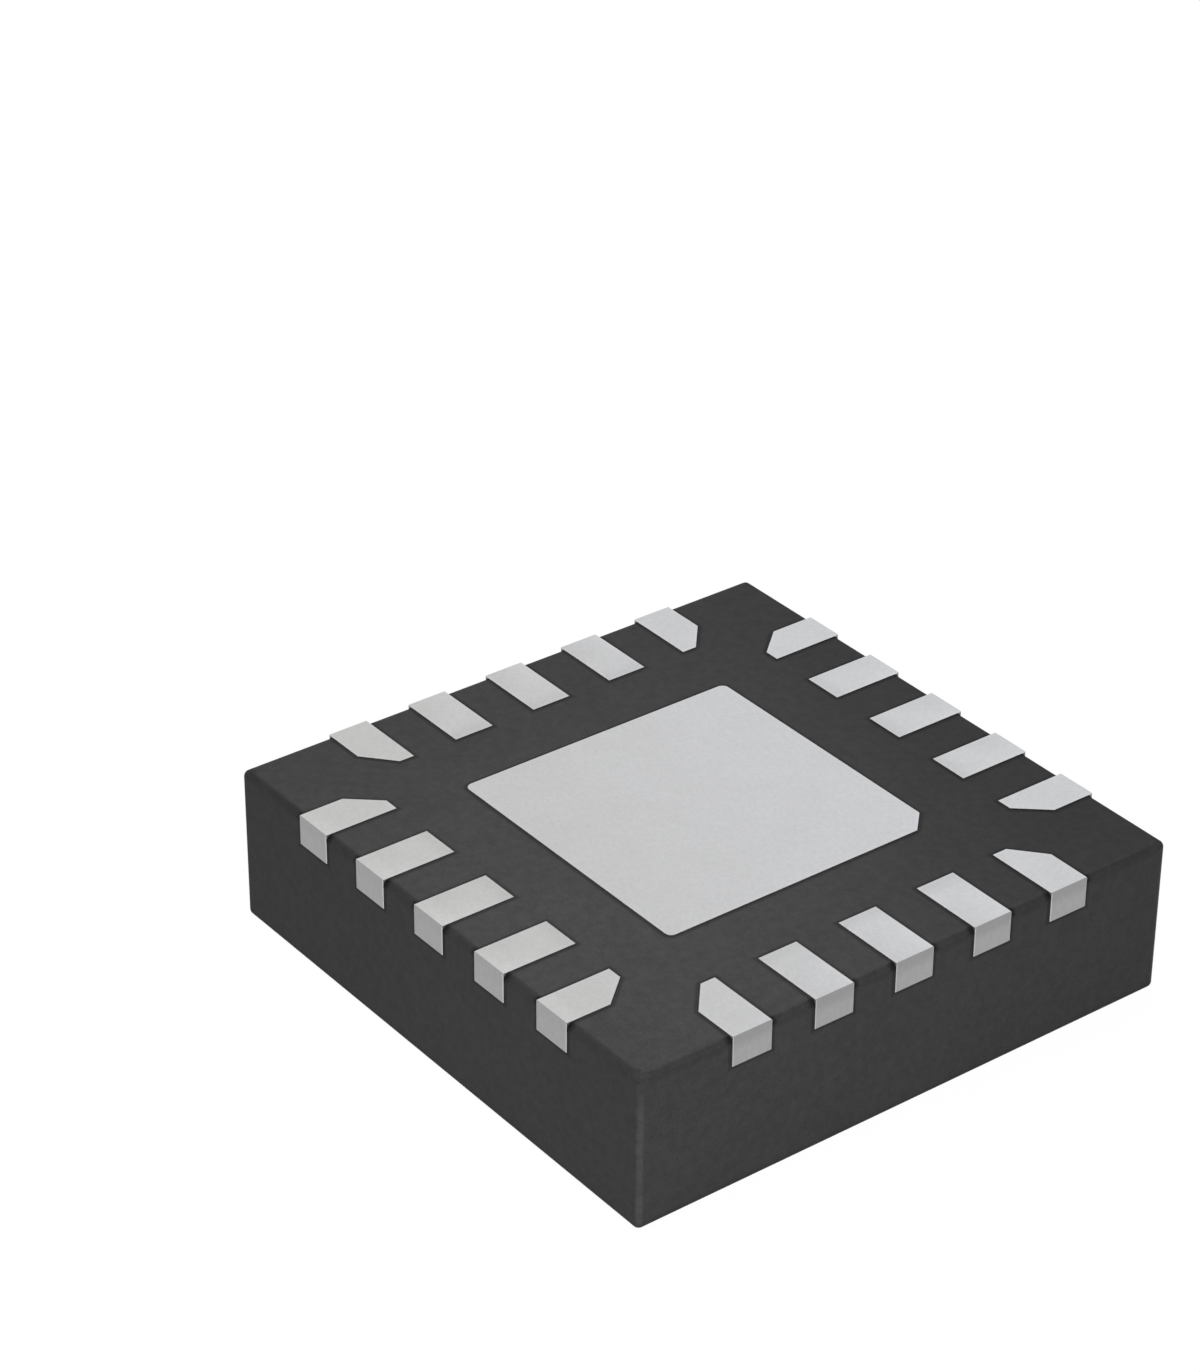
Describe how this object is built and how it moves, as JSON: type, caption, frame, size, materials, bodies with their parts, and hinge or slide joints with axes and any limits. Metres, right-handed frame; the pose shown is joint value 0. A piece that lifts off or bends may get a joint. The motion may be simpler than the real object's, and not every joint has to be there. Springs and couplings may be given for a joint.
{
  "type": "battery charge controller chip",
  "caption": "Square leadless surface-mount charge controller with a black moulded block, edge leads and an exposed thermal pad.",
  "frame": {"origin": "centre of the plain face, on which the chip lies", "axes": "+Z points out of the solder side; the thermal pad's cut corner, next to lead 1, lies towards +X and +Y; leads 1 to 5 are on the +X side, 6 to 10 on -Y, 11 to 15 on -X and 16 to 20 on +Y"},
  "size_m": [0.0034, 0.0034, 0.0009],
  "materials": {
    "mould_compound": "matte, fine grained",
    "pad_metal": "matte plated",
    "lead_metal": "matte plated",
    "silicon": "polished",
    "adhesive": "matte, silver filled",
    "bond_wire": "drawn copper"
  },
  "bodies": {
    "root": {"mould_body": "mould_compound", "die_paddle": "pad_metal", "lead_01": "lead_metal", "lead_02": "lead_metal", "lead_03": "lead_metal", "lead_04": "lead_metal", "lead_05": "lead_metal", "lead_06": "lead_metal", "lead_07": "lead_metal", "lead_08": "lead_metal", "lead_09": "lead_metal", "lead_10": "lead_metal", "lead_11": "lead_metal", "lead_12": "lead_metal", "lead_13": "lead_metal", "lead_14": "lead_metal", "lead_15": "lead_metal", "lead_16": "lead_metal", "lead_17": "lead_metal", "lead_18": "lead_metal", "lead_19": "lead_metal", "lead_20": "lead_metal", "silicon_die": "silicon", "die_attach": "adhesive", "bond_wire_01": "bond_wire", "bond_wire_02": "bond_wire", "bond_wire_03": "bond_wire", "bond_wire_04": "bond_wire", "bond_wire_05": "bond_wire", "bond_wire_06": "bond_wire", "bond_wire_07": "bond_wire", "bond_wire_08": "bond_wire", "bond_wire_09": "bond_wire", "bond_wire_10": "bond_wire", "bond_wire_11": "bond_wire", "bond_wire_12": "bond_wire", "bond_wire_13": "bond_wire", "bond_wire_14": "bond_wire", "bond_wire_15": "bond_wire", "bond_wire_16": "bond_wire", "bond_wire_17": "bond_wire", "bond_wire_18": "bond_wire", "bond_wire_19": "bond_wire", "bond_wire_20": "bond_wire"}
  },
  "joints": []
}
